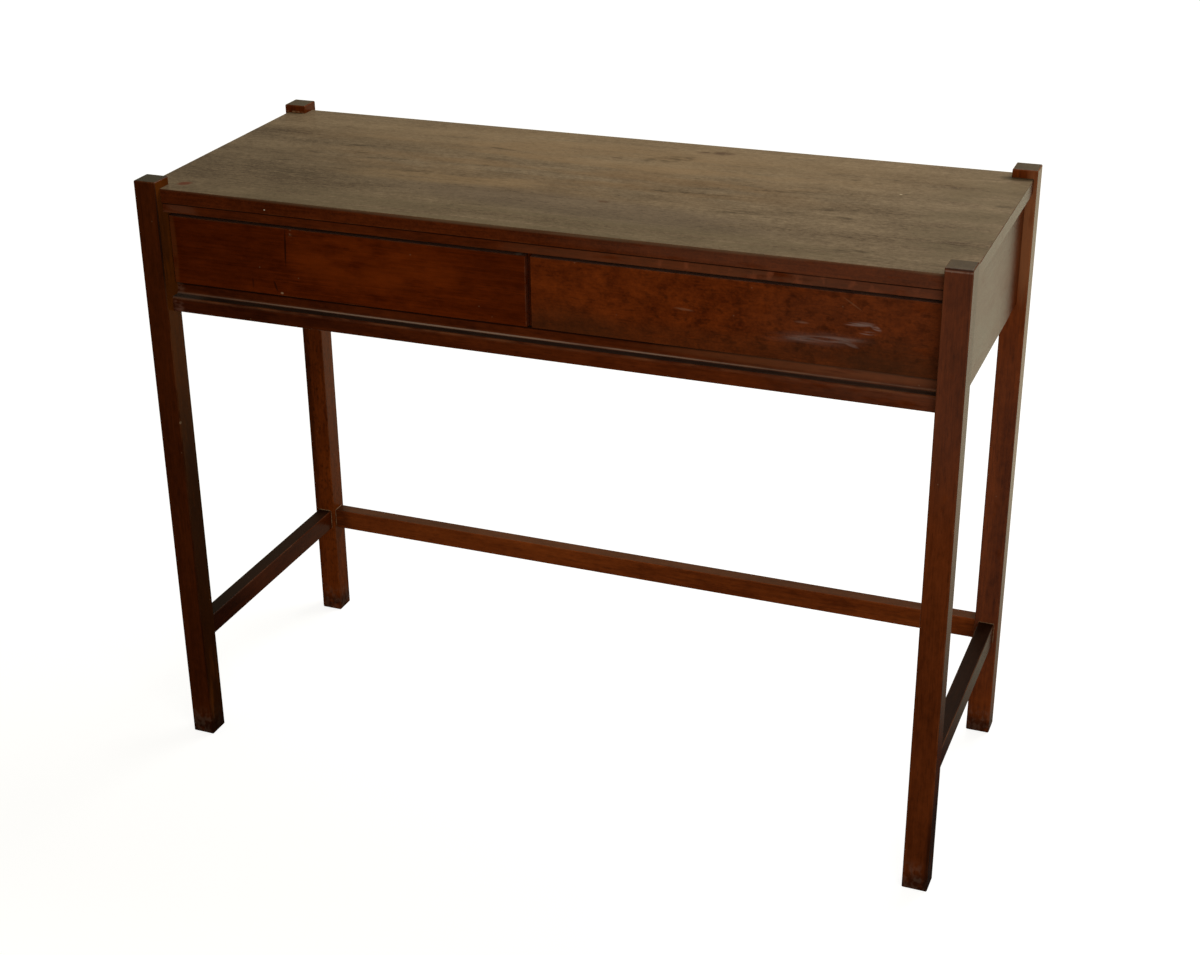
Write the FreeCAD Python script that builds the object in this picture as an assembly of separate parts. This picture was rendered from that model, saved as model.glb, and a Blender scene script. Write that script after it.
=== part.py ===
import FreeCAD, Part
import os

os.makedirs("parts", exist_ok=True)
V = FreeCAD.Vector

# Overall size, floor to leg tops. The origin is on the floor under the middle, and the front faces -Y.
desk_width = 1000
desk_depth = 400
desk_height = 770

# Square legs with eased arrises, which stand a little above the top
leg_side = 30
leg_round = 1.6
foot_chamfer = 1.2
leg_above_top = 10

# Top board, notched at its corners for the legs
top_thick = 17
top_front_inset = 9
top_side_inset = 4
top_round = 1.2

# Apron boards, set back from the legs' outer faces and tongued into them
apron_inset = 12
apron_height = 139
apron_round = 1
tongue_thick = 6
tongue_from_outside = 2
tongue_clear = 1.5
tongue_short = 8

# Front rails: a thin upper one, and a lower one with a ledge and a cove under the drawers
rail_depth = 34
rail_round = 1.5
rail_tenon_wide = 10
upper_rail_height = 13
upper_tenon_height = 7
lower_tenon_height = 11
ledge_height = 19
ledge_round = 4
cove_radius = 4
upright_inset = 26
upright_gap = 1.5

# Post between the drawers, behind their lapped ends
post_inset = 31
post_wide = 20
post_tenon_long = 6
post_tenon_thick = 8

# Low rails between the legs
stretcher_bottom = 137
stretcher_height = 28
stretcher_thick = 20
stretcher_round = 1.5
stretcher_tenon_thick = 10
stretcher_tenon_height = 18
stretcher_tenon_long = 14
stretcher_tenon_clear = 1

# Runners and guide for the drawers, and battens under the top
runner_wide = 20
runner_thick = 16
bearer_wide = 60
bearer_tenon_wide = 40
bearer_tenon_clear = 1.8
bearer_tenon_long = 8
guide_height = 12
batten_thick = 14
batten_wide = 20
back_batten_short = 20
kicker_wide = 60
stop_wide = 30
stop_rise = 5
stop_gap = 0.2
stop_shares = (0.2, 0.8)

# Drawers
drawer_inset = 21
drawer_top_gap = 6.5
finger_gap = 15.5
drawer_split = 6
drawer_side_gap = 0.75
drawer_run_gap = 0.3
drawer_back_gap = 18
drawer_front_thick = 18
drawer_front_round = 1
lip_gap = 0.2
drawer_side_thick = 10
drawer_side_low = 1.5
drawer_side_round = 2
drawer_back_thick = 10
drawer_back_low = 2
drawer_ply = 4
ply_rise = 7.5
ply_groove_deep = 5

# Dovetails, lapped behind the drawer fronts and open at the drawer backs
lap_thick = 6
tail_count = 3
pin_wide = 9.5
tail_slope_share = 1 / 6

# Fits
joint_gap = 0.15
overrun = 1
same_place = 0.001

# Planes that several pieces share
half_width = desk_width / 2
half_depth = desk_depth / 2
leg_x = half_width - leg_side
leg_y = half_depth - leg_side
leg_middle_x = half_width - leg_side / 2
leg_middle_y = half_depth - leg_side / 2
top_z = desk_height - leg_above_top
apron_top = top_z - top_thick
apron_bottom = apron_top - apron_height
apron_x = half_width - apron_inset
apron_y = half_depth - apron_inset
tongue_long = leg_side - apron_inset - tongue_from_outside - tongue_thick - tongue_clear
rail_front = -apron_y
rail_back = rail_front + rail_depth
upper_rail_bottom = apron_top - upper_rail_height
ledge_z = apron_bottom + ledge_height
upright_front = -half_depth + upright_inset
post_front = -half_depth + post_inset
drawer_bottom = ledge_z + finger_gap
drawer_top = upper_rail_bottom - drawer_top_gap
upright_top = drawer_bottom - upright_gap
runner_top = drawer_bottom - drawer_run_gap
runner_bottom = runner_top - runner_thick
batten_bottom = apron_top - batten_thick
stretcher_middle = stretcher_bottom + stretcher_height / 2
front_face = -half_depth + drawer_inset
front_back = front_face + drawer_front_thick
drawer_end = leg_y - drawer_back_gap
back_face = drawer_end - drawer_back_thick
drawer_outer = leg_x - drawer_side_gap
drawer_inner = post_wide / 2 + drawer_side_gap
side_top = drawer_top - drawer_side_low
back_top = side_top - drawer_back_low
ply_low = drawer_bottom + ply_rise
ply_high = ply_low + drawer_ply


def block(low, high):
    size = [b - a for a, b in zip(low, high)]
    return Part.makeBox(*size, V(*low))


def grown(limits, gap):
    low, high = limits
    return [value - gap for value in low], [value + gap for value in high]


def along(low, high, share):
    return low + (high - low) * share


def mirrored(shape):
    return shape.mirror(V(0, 0, 0), V(1, 0, 0))


def edges_along(shape, axis, places):
    """Straight edges parallel to an axis, found by their other two coordinates."""
    others = [index for index in range(3) if index != axis]
    found = []
    for edge in shape.Edges:
        ends = [vertex.Point for vertex in edge.Vertexes]
        for place in places:
            off = [abs(end[index] - at) for end in ends for index, at in zip(others, place)]
            if max(off) < same_place:
                found.append(edge)
    return found


def corner_places(low, high, axis):
    a, b = [index for index in range(3) if index != axis]
    return [(p, q) for p in (low[a], high[a]) for q in (low[b], high[b])]


def eased_bar(low, high, axis, radius):
    """Bar with its four long arrises rounded."""
    bar = block(low, high)
    return bar.makeFillet(radius, edges_along(bar, axis, corner_places(low, high, axis)))


def joined(shape, pieces):
    return shape.multiFuse(pieces).removeSplitter()


def with_ends(shape, tenon):
    """A piece across the desk, with the same tenon at both ends."""
    return joined(shape, [tenon, mirrored(tenon)])


# Tenons and tongues, as the limits of the ones on the right-hand side. The mortises are cut from the same limits.

def side_tongue(end):
    near, far = sorted((end * leg_y, end * (leg_y + tongue_long)))
    outside = apron_x - tongue_from_outside
    low = [outside - tongue_thick, near, apron_bottom + tongue_short]
    return low, [outside, far, apron_top - tongue_short]


def back_tongue():
    outside = apron_y - tongue_from_outside
    low = [leg_x, outside - tongue_thick, apron_bottom + tongue_short]
    return low, [leg_x + tongue_long, outside, apron_top - tongue_short]


def rail_tenon(middle_z, height):
    middle_y = (rail_front - leg_y) / 2
    low = [leg_x, middle_y - rail_tenon_wide / 2, middle_z - height / 2]
    return low, [leg_x + tongue_long, middle_y + rail_tenon_wide / 2, middle_z + height / 2]


def upper_rail_tenon():
    return rail_tenon(upper_rail_bottom + upper_rail_height / 2, upper_tenon_height)


def lower_rail_tenon():
    return rail_tenon(apron_bottom + ledge_height / 2, lower_tenon_height)


def side_stretcher_tenon(end):
    near, far = sorted((end * leg_y, end * (leg_y + stretcher_tenon_long)))
    half = stretcher_tenon_thick / 2
    low = [leg_middle_x - half, near, stretcher_middle - stretcher_tenon_height / 2]
    return low, [leg_middle_x + half, far, stretcher_middle + stretcher_tenon_height / 2]


def back_stretcher_tenon():
    half = stretcher_tenon_thick / 2
    reach = leg_side / 2 - half - stretcher_tenon_clear
    low = [leg_x, leg_middle_y - half, stretcher_middle - stretcher_tenon_height / 2]
    return low, [leg_x + reach, leg_middle_y + half, stretcher_middle + stretcher_tenon_height / 2]


def post_tenon(low_z, high_z):
    half = post_tenon_thick / 2
    middle_y = (post_front + rail_back) / 2
    return [-half, middle_y - half, low_z], [half, middle_y + half, high_z]


def post_top_tenon():
    return post_tenon(upper_rail_bottom, upper_rail_bottom + post_tenon_long)


def post_foot_tenon():
    return post_tenon(upright_top - post_tenon_long, upright_top)


def bearer_tenon(low_y, high_y):
    half = bearer_tenon_wide / 2
    high_z = upright_top - post_tenon_long - bearer_tenon_clear
    return [-half, low_y, runner_bottom], [half, high_y, high_z]


def bearer_front_tenon():
    return bearer_tenon(rail_back - bearer_tenon_long, rail_back)


def bearer_back_tenon():
    return bearer_tenon(leg_y, leg_y + bearer_tenon_long)


def cut_mortises(shape, tenons):
    return shape.cut([block(*grown(limits, joint_gap)) for limits in tenons])


# The frame

def leg(end):
    near, far = sorted((end * leg_y, end * half_depth))
    low, high = [leg_x, near, 0], [half_width, far, desk_height]
    bar = block(low, high)
    rounds = edges_along(bar, 2, corner_places(low, high, 2))
    rounds += edges_along(bar, 0, [(near, desk_height), (far, desk_height)])
    rounds += edges_along(bar, 1, [(leg_x, desk_height), (half_width, desk_height)])
    bar = bar.makeFillet(leg_round, rounds)
    sole = [edge for edge in bar.Edges if edge.BoundBox.ZMax < same_place]
    bar = bar.makeChamfer(foot_chamfer, sole)
    if end < 0:
        across = [upper_rail_tenon(), lower_rail_tenon()]
    else:
        across = [back_tongue(), back_stretcher_tenon()]
    return cut_mortises(bar, [side_tongue(end), side_stretcher_tenon(end)] + across)


def desk_top():
    x, y = half_width - top_side_inset, half_depth - top_front_inset
    board = block([-x, -y, apron_top], [x, y, top_z])
    rim = edges_along(board, 0, [(-y, top_z), (y, top_z)])
    rim += edges_along(board, 1, [(-x, top_z), (x, top_z)])
    board = board.makeFillet(top_round, rim)
    notch_x, notch_y = leg_x - joint_gap, leg_y - joint_gap
    for low_y, high_y in ((notch_y, y + overrun), (-y - overrun, -notch_y)):
        notch = block([notch_x, low_y, apron_top - overrun], [x + overrun, high_y, top_z + overrun])
        board = board.cut([notch, mirrored(notch)])
    return board


def side_panel():
    low, high = [leg_x, -leg_y, apron_bottom], [apron_x, leg_y, apron_top]
    board = block(low, high)
    lower = edges_along(board, 1, [(leg_x, apron_bottom), (apron_x, apron_bottom)])
    board = board.makeFillet(apron_round, lower)
    return joined(board, [block(*side_tongue(end)) for end in (-1, 1)])


def back_panel():
    board = block([-leg_x, leg_y, apron_bottom], [leg_x, apron_y, apron_top])
    lower = edges_along(board, 0, [(leg_y, apron_bottom), (apron_y, apron_bottom)])
    board = board.makeFillet(apron_round, lower)
    board = with_ends(board, block(*back_tongue()))
    return cut_mortises(board, [bearer_back_tenon()])


def upper_front_rail():
    rail = block([-leg_x, rail_front, upper_rail_bottom], [leg_x, rail_back, apron_top])
    rail = rail.makeFillet(rail_round, edges_along(rail, 0, [(rail_front, upper_rail_bottom)]))
    rail = with_ends(rail, block(*upper_rail_tenon()))
    return cut_mortises(rail, [post_top_tenon()])


def lower_front_rail():
    outline = [
        (rail_front, apron_bottom),
        (rail_back, apron_bottom),
        (rail_back, upright_top),
        (upright_front, upright_top),
        (upright_front, ledge_z),
        (rail_front, ledge_z),
    ]
    points = [V(-leg_x, y, z) for y, z in outline]
    section = Part.Face(Part.makePolygon(points + points[:1]))
    rail = section.extrude(V(leg_x + leg_x, 0, 0))
    rail = rail.makeFillet(cove_radius, edges_along(rail, 0, [(upright_front, ledge_z)]))
    rail = rail.makeFillet(ledge_round, edges_along(rail, 0, [(rail_front, ledge_z)]))
    rail = rail.makeFillet(rail_round, edges_along(rail, 0, [(rail_front, apron_bottom)]))
    rail = with_ends(rail, block(*lower_rail_tenon()))
    return cut_mortises(rail, [post_foot_tenon(), bearer_front_tenon()])


def centre_post():
    half = post_wide / 2
    post = block([-half, post_front, upright_top], [half, rail_back, upper_rail_bottom])
    return joined(post, [block(*post_top_tenon()), block(*post_foot_tenon())])


def side_stretcher():
    half = stretcher_thick / 2
    low = [leg_middle_x - half, -leg_y, stretcher_bottom]
    high = [leg_middle_x + half, leg_y, stretcher_bottom + stretcher_height]
    bar = eased_bar(low, high, 1, stretcher_round)
    return joined(bar, [block(*side_stretcher_tenon(end)) for end in (-1, 1)])


def back_stretcher():
    half = stretcher_thick / 2
    low = [-leg_x, leg_middle_y - half, stretcher_bottom]
    high = [leg_x, leg_middle_y + half, stretcher_bottom + stretcher_height]
    return with_ends(eased_bar(low, high, 0, stretcher_round), block(*back_stretcher_tenon()))


# Inside the frame

def centre_bearer():
    half = bearer_wide / 2
    bearer = block([-half, rail_back, runner_bottom], [half, leg_y, runner_top])
    return joined(bearer, [block(*bearer_front_tenon()), block(*bearer_back_tenon())])


def centre_guide():
    half = post_wide / 2
    low, high = [-half, rail_back, runner_top], [half, leg_y, runner_top + guide_height]
    guide = block(low, high)
    upper = edges_along(guide, 1, [(-half, high[2]), (half, high[2])])
    return guide.makeFillet(apron_round, upper)


def side_runner():
    return block([leg_x - runner_wide, rail_back, runner_bottom], [leg_x, leg_y, runner_top])


def batten(low_x, high_x, low_y, high_y):
    low, high = [low_x, low_y, batten_bottom], [high_x, high_y, apron_top]
    axis = 0 if high_x - low_x > high_y - low_y else 1
    ends = (low_y, high_y) if axis == 0 else (low_x, high_x)
    strip = block(low, high)
    return strip.makeFillet(apron_round, edges_along(strip, axis, [(end, batten_bottom) for end in ends]))


def side_batten():
    return batten(leg_x - batten_wide, leg_x, rail_back, leg_y)


def back_batten():
    reach = leg_x - batten_wide - back_batten_short
    return batten(-reach, reach, leg_y - batten_wide, leg_y)


def centre_kicker():
    return batten(-kicker_wide / 2, kicker_wide / 2, rail_back, leg_y - batten_wide)


def drawer_stop(share):
    middle = along(drawer_inner, drawer_outer, share)
    low = [middle - stop_wide / 2, front_back + stop_gap, upright_top]
    return block(low, [middle + stop_wide / 2, rail_back, drawer_bottom + stop_rise])


# The drawers: the right one is made, and the left one mirrors it

def ply_limits():
    reach = drawer_side_thick - ply_groove_deep
    low = [drawer_inner + reach, front_back - ply_groove_deep, ply_low]
    return low, [drawer_outer - reach, drawer_end, ply_high]


def pin_spaces(low_x, high_x, base_y, tip_y, low_z, high_z):
    """Spaces between dovetails that widen from the tails' tips to their base."""
    away = 1 if tip_y > base_y else -1
    past_tip = tip_y + away * overrun
    base_half = pin_wide / 2
    tip_half = base_half - abs(past_tip - base_y) * tail_slope_share
    spaces = []
    for index in range(tail_count + 1):
        middle = along(low_z, high_z, index / tail_count)
        outline = [
            (base_y, max(middle - base_half, low_z)),
            (past_tip, max(middle - tip_half, low_z)),
            (past_tip, min(middle + tip_half, high_z)),
            (base_y, min(middle + base_half, high_z)),
        ]
        points = [V(low_x, y, z) for y, z in outline]
        face = Part.Face(Part.makePolygon(points + points[:1]))
        spaces.append(face.extrude(V(high_x - low_x, 0, 0)))
    return spaces


def drawer_side(low_x):
    high_x = low_x + drawer_side_thick
    front_tip = front_face + lap_thick
    board = block([low_x, front_tip, drawer_bottom], [high_x, drawer_end, side_top])
    board = board.makeFillet(drawer_side_round, edges_along(board, 1, [(low_x, side_top), (high_x, side_top)]))
    spaces = pin_spaces(low_x, high_x, front_back, front_tip, drawer_bottom, side_top)
    spaces += pin_spaces(low_x, high_x, back_face, drawer_end, ply_high, back_top)
    return board.cut(spaces + [block(*grown(ply_limits(), joint_gap))])


def outer_side():
    return drawer_side(drawer_outer - drawer_side_thick)


def inner_side():
    return drawer_side(drawer_inner)


def drawer_front():
    low, high = [drawer_split / 2, front_face, drawer_bottom], [drawer_outer, front_back, drawer_top]
    board = block(low, high)
    face_rim = edges_along(board, 0, [(front_face, drawer_bottom), (front_face, drawer_top)])
    face_rim += edges_along(board, 2, [(low[0], front_face), (drawer_outer, front_face)])
    board = board.makeFillet(drawer_front_round, face_rim)
    rebate = block(
        [low[0] - overrun, post_front - lip_gap, drawer_bottom - overrun],
        [drawer_inner, front_back + overrun, drawer_top + overrun],
    )
    return board.cut(joined(rebate, [outer_side(), inner_side(), block(*grown(ply_limits(), joint_gap))]))


def drawer_back():
    board = block([drawer_inner, back_face, ply_high], [drawer_outer, drawer_end, back_top])
    return board.cut([outer_side(), inner_side()])


def save(name, shape):
    shape.exportStep("parts/" + name + ".step")


def save_pair(name, shape):
    save("right_" + name, shape)
    save("left_" + name, mirrored(shape))


for row, end in (("front", -1), ("back", 1)):
    shape = leg(end)
    save(row + "_right_leg", shape)
    save(row + "_left_leg", mirrored(shape))

save("desk_top", desk_top())
save_pair("side_panel", side_panel())
save("back_panel", back_panel())
save("upper_front_rail", upper_front_rail())
save("lower_front_rail", lower_front_rail())
save("centre_post", centre_post())
save_pair("stretcher", side_stretcher())
save("back_stretcher", back_stretcher())

save("centre_bearer", centre_bearer())
save("centre_guide", centre_guide())
save("centre_kicker", centre_kicker())
save_pair("runner", side_runner())
save_pair("top_batten", side_batten())
save("back_top_batten", back_batten())
for name, share in zip(("inner_stop", "outer_stop"), stop_shares):
    save_pair(name, drawer_stop(share))

save_pair("drawer_front", drawer_front())
save_pair("drawer_outer_side", outer_side())
save_pair("drawer_inner_side", inner_side())
save_pair("drawer_back", drawer_back())
save_pair("drawer_bottom", block(*ply_limits()))
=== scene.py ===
import bpy
import math
import random
from mathutils import Matrix, Vector


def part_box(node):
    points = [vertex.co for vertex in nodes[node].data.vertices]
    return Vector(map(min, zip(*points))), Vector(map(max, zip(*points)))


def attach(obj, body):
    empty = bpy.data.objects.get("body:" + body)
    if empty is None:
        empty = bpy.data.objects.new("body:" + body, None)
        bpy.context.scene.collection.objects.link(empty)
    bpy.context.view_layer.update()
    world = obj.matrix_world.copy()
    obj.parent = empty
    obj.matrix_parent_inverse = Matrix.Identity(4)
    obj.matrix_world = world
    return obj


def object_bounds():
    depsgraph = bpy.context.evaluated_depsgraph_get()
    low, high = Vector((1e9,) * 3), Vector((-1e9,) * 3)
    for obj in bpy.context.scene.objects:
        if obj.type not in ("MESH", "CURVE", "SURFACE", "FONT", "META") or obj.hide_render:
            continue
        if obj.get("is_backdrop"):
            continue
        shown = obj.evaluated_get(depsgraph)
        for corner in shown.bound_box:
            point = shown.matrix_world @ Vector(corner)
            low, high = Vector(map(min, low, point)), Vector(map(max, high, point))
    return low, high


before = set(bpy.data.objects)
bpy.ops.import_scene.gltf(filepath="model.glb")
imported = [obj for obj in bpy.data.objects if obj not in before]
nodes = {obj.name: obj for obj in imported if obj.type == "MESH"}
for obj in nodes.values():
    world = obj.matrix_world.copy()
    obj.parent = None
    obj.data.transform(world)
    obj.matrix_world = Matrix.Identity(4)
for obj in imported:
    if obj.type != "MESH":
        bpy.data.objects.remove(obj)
cad_low, cad_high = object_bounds()

# The four legs are square mahogany posts, planed, eased along their arrises and run up past the desk top.
# They are stained a dark red-brown and varnished. Hands have rubbed the arrises pale, and the pale rub also
# paints a highlight along them. The feet are grimy.
mm = 0.001
along_x, along_y, along_z = range(3)
up, rightward = (0, 0, 1), (1, 0, 0)
# The sockets of a Mix node that mixes colours.
colour_a, colour_b, colour_out = 6, 7, 2


def linear(hex_colour):
    """An sRGB hex colour as linear RGBA."""
    channels = [int(hex_colour[start:start + 2], 16) / 255 for start in (1, 3, 5)]
    return [c / 12.92 if c <= 0.04045 else ((c + 0.055) / 1.055) ** 2.4 for c in channels] + [1]


def add(tree, kind, inputs={}, **settings):
    """A node with its settings. An input takes a value, or a link where a socket is given."""
    node = tree.nodes.new("ShaderNode" + kind)
    for name, value in settings.items():
        setattr(node, name, value)
    for name, value in inputs.items():
        if isinstance(value, bpy.types.NodeSocket):
            tree.links.new(value, node.inputs[name])
        else:
            node.inputs[name].default_value = value
    return node


def new_material(name):
    """An empty node material and its tree."""
    material = bpy.data.materials.new(name)
    material.use_nodes = True
    material.node_tree.nodes.clear()
    return material, material.node_tree


def fibres(tree, place, grain, long, wide, detail, roughness=0.5):
    """A noise drawn out along the grain, whose streaks are about so long and so wide in mm."""
    scale = [1 / (wide * mm)] * 3
    scale[grain] = 1 / (long * mm)
    spread = add(tree, "Mapping", {"Vector": place, "Scale": scale}).outputs["Vector"]
    settings = {"Vector": spread, "Scale": 1, "Detail": detail, "Roughness": roughness}
    return add(tree, "TexNoise", settings).outputs["Fac"]


def timber(
    name, grain, dark, light, tones, roughness, ior,
    pores=0.35, worn_and_highlit=None, faces=(), marks=(), specks=0.0,
):
    """Wood with its grain along an axis and its figure between a dark and a light colour.

    Tones are (long, wide, share) of each scale of the figure. The pale rub along the arrises, which is wear
    and a painted highlight at once, is (colour, width, share). Faces are (direction, dark, light, roughness,
    ior) where one side has another surface.
    Marks are (place, radii, turn, colour, strength, (long, wide, least)), each broken into streaks of that
    size: the higher the least, the fewer. Lengths are in mm, places are from the floor under the desk's
    middle, and turns are in degrees.
    """
    material, tree = new_material(name)
    place = add(tree, "TexCoord").outputs["Object"]
    normal = add(tree, "NewGeometry").outputs["Normal"]

    # No two boards are quite alike. The tones add up to a noise that stays near a half, so the two colours
    # are spread over the middle of it.
    board_unlike, figure_from, figure_to = 0.04, 0.36, 0.64
    board = add(tree, "ObjectInfo").outputs["Random"]
    tone = add(tree, "MapRange", {
        "Value": board, "To Min": -board_unlike, "To Max": board_unlike,
    }).outputs["Result"]
    for long, wide, share in tones:
        noise = fibres(tree, place, grain, long, wide, detail=3, roughness=0.55)
        tone = add(tree, "Math", {0: noise, 1: share, 2: tone}, operation="MULTIPLY_ADD").outputs[0]
    figure = add(tree, "MapRange", {
        "Value": tone, "From Min": figure_from, "From Max": figure_to,
    }).outputs["Result"]
    between = {0: figure, colour_a: linear(dark), colour_b: linear(light)}
    colour = add(tree, "Mix", between, data_type="RGBA").outputs[colour_out]

    # A side's own surface is whole within 14 degrees of its direction and ends at 31. These are cosines.
    side_whole, side_ends = 0.97, 0.86
    for direction, face_dark, face_light, face_roughness, face_ior in faces:
        toward = add(tree, "VectorMath", {0: normal, 1: direction}, operation="DOT_PRODUCT").outputs["Value"]
        share = add(tree, "MapRange", {
            "Value": toward, "From Min": side_ends, "From Max": side_whole,
        }).outputs["Result"]
        roughness = add(tree, "MapRange", {
            "Value": share, "To Min": roughness, "To Max": face_roughness,
        }).outputs["Result"]
        ior = add(tree, "MapRange", {"Value": share, "To Min": ior, "To Max": face_ior}).outputs["Result"]
        between = {0: figure, colour_a: linear(face_dark), colour_b: linear(face_light)}
        face_colour = add(tree, "Mix", between, data_type="RGBA").outputs[colour_out]
        mixed = {0: share, colour_a: colour, colour_b: face_colour}
        colour = add(tree, "Mix", mixed, data_type="RGBA").outputs[colour_out]

    # Real pores are about 0.2 mm wide: these are drawn coarser so that they show.
    pore_long, pore_wide, pore_colour = 17, 1.1, "#120603"
    pore_rim, pore_core = 0.56, 0.72
    noise = fibres(tree, place, grain, pore_long, pore_wide, detail=2)
    pore = add(tree, "MapRange", {
        "Value": noise, "From Min": pore_rim, "From Max": pore_core,
    }).outputs["Result"]
    share = add(tree, "Math", {0: pore, 1: pores}, operation="MULTIPLY").outputs[0]
    mixed = {0: share, colour_a: colour, colour_b: linear(pore_colour)}
    colour = add(tree, "Mix", mixed, data_type="RGBA").outputs[colour_out]

    # The rub, wear and a painted highlight at once, is where a rounded normal leans away from all three axes.
    # It comes in patches along the arris.
    if worn_and_highlit:
        worn_and_highlit_colour, worn_and_highlit_wide, worn_and_highlit_share = worn_and_highlit
        rub_and_highlight_from, rub_and_highlight_whole, rub_and_highlight_samples = 0.97, 0.75, 4
        patch_long, patch_wide, patch_from, patch_whole = 30, 6, 0.4, 0.65
        edge = add(tree, "Bevel", {"Radius": worn_and_highlit_wide * mm}, samples=rub_and_highlight_samples).outputs["Normal"]
        edge = add(tree, "VectorMath", {0: edge}, operation="ABSOLUTE").outputs["Vector"]
        edge = add(tree, "SeparateXYZ", {0: edge}).outputs
        flat = add(tree, "Math", {0: edge[0], 1: edge[1]}, operation="MAXIMUM").outputs[0]
        flat = add(tree, "Math", {0: flat, 1: edge[2]}, operation="MAXIMUM").outputs[0]
        rub_and_highlight = add(tree, "MapRange", {
            "Value": flat, "From Min": rub_and_highlight_from, "From Max": rub_and_highlight_whole,
        }).outputs["Result"]
        noise = fibres(tree, place, grain, patch_long, patch_wide, detail=3)
        patchy = add(tree, "MapRange", {
            "Value": noise, "From Min": patch_from, "From Max": patch_whole, "To Max": worn_and_highlit_share,
        }).outputs["Result"]
        share = add(tree, "Math", {0: rub_and_highlight, 1: patchy}, operation="MULTIPLY").outputs[0]
        mixed = {0: share, colour_a: colour, colour_b: linear(worn_and_highlit_colour)}
        colour = add(tree, "Mix", mixed, data_type="RGBA").outputs[colour_out]

    # A mark is whole in the middle of its ellipsoid and fades towards the rim. Its streaks have soft ends.
    mark_whole, streak_soft = 0.4, 0.15
    for mark_place, radii, turn, mark_colour, strength, (long, wide, least) in marks:
        inside = add(tree, "Mapping", {
            "Vector": place,
            "Location": [value * mm for value in mark_place],
            "Rotation": [math.radians(value) for value in turn],
            "Scale": [value * mm for value in radii],
        }, vector_type="TEXTURE").outputs["Vector"]
        away = add(tree, "VectorMath", {0: inside}, operation="LENGTH").outputs["Value"]
        within = add(tree, "MapRange", {
            "Value": away, "From Min": 1, "From Max": mark_whole,
        }, interpolation_type="SMOOTHSTEP").outputs["Result"]
        noise = fibres(tree, place, grain, long, wide, detail=5)
        broken = add(tree, "MapRange", {
            "Value": noise, "From Min": least, "From Max": least + streak_soft, "To Max": strength,
        }).outputs["Result"]
        share = add(tree, "Math", {0: within, 1: broken}, operation="MULTIPLY").outputs[0]
        mixed = {0: share, colour_a: colour, colour_b: linear(mark_colour)}
        colour = add(tree, "Mix", mixed, data_type="RGBA").outputs[colour_out]

    # Chips and grains of dust about a millimetre in radius, some 26 mm apart through the wood.
    if specks:
        speck_apart, speck_radius, speck_core, speck_colour = 26, 1.17, 0.52, "#8A7058"
        away = add(tree, "TexVoronoi", {"Vector": place, "Scale": 1 / (speck_apart * mm)}).outputs["Distance"]
        dot = add(tree, "MapRange", {
            "Value": away,
            "From Min": speck_radius / speck_apart,
            "From Max": speck_core / speck_apart,
            "To Max": specks,
        }).outputs["Result"]
        mixed = {0: dot, colour_a: colour, colour_b: linear(speck_colour)}
        colour = add(tree, "Mix", mixed, data_type="RGBA").outputs[colour_out]

    # The light figure is duller than the dark, and the pores are pits in it.
    dark_dullness, light_dullness, pit_share = 0.85, 1.2, 0.6
    grain_deep, grain_strength = 0.12, 0.5
    uneven = add(tree, "MapRange", {
        "Value": figure, "To Min": dark_dullness, "To Max": light_dullness,
    }).outputs["Result"]
    dull = add(tree, "Math", {0: uneven, 1: roughness}, operation="MULTIPLY").outputs[0]
    height = add(tree, "Math", {0: pore, 1: -pit_share, 2: tone}, operation="MULTIPLY_ADD").outputs[0]
    bump = add(tree, "Bump", {
        "Strength": grain_strength, "Distance": grain_deep * mm, "Height": height,
    }).outputs["Normal"]
    shader = add(tree, "BsdfPrincipled", {
        "Base Color": colour, "Roughness": dull, "IOR": ior, "Normal": bump,
    })
    add(tree, "OutputMaterial", {"Surface": shader.outputs["BSDF"]})
    return material


def dress(material, *names):
    """Gives a material to the nodes of these names."""
    for name in names:
        for slot in nodes[name].material_slots:
            slot.material = material


# Stained mahogany under an old satin varnish: red-brown with soft ribbon stripes. A fresh varnish has an
# IOR near 1.5. This one is dull from the front and shines only at a low angle, which a lower IOR gives.
stain_dark, stain_light = "#341103", "#5E270B"
varnish_roughness, varnish_ior = 0.22, 1.15
stain_tones = ((320, 60, 0.3), (420, 8, 0.12), (60, 16, 0.22), (11, 5, 0.2), (70, 1.8, 0.16))
# The pale rub along the arrises is both worn varnish and a painted highlight.
rubbed_and_highlit = ("#7A4A2C", 2.5, 0.55)
speckled = 0.25

# Where the legs' faces are, in mm. A mark with a radius of everywhere takes in the whole desk, and one on a
# flat face reaches a skin's depth into it.
left, front, ground = (value / mm for value in cad_low)
right, back, leg_top = (value / mm for value in cad_high)
leg_side = (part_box("front_left_leg")[1].x - cad_low.x) / mm
left_inside, right_inside, back_leg_front = left + leg_side, right - leg_side, back - leg_side
left_middle, right_middle, leg_middle_y = left + leg_side / 2, right - leg_side / 2, front + leg_side / 2
everywhere, skin = 9000, 5
unturned = (0, 0, 0)

# Grime, with paler dust over it.
foot_marks = [
    ((0, 0, ground), (everywhere, everywhere, 30), unturned, "#150C08", 0.68, (16, 14, 0.34)),
    ((0, 0, ground + 14), (everywhere, everywhere, 30), unturned, "#6A5548", 0.22, (8, 6, 0.44)),
]
# A chip on the inner arris; then painted shade: an inner side that darkens downwards, a dark strip and a dark
# arris beside the drawer.
front_left_marks = [
    ((left_inside, front + 1, 459), (2, 3, 2.4), unturned, "#9A8064", 0.7, (30, 30, 0.2)),
    ((left_inside, leg_middle_y, 180), (3, 40, 480), unturned, "#120602", 0.7, (120, 18, 0.25)),
    ((left_inside, front + 8, 690), (4, 12, 90), unturned, "#241208", 0.4, (40, 8, 0.34)),
    ((left_inside, front, 690), (2.6, 2.6, 110), unturned, "#170904", 0.8, (60, 6, 0.3)),
]
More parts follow.
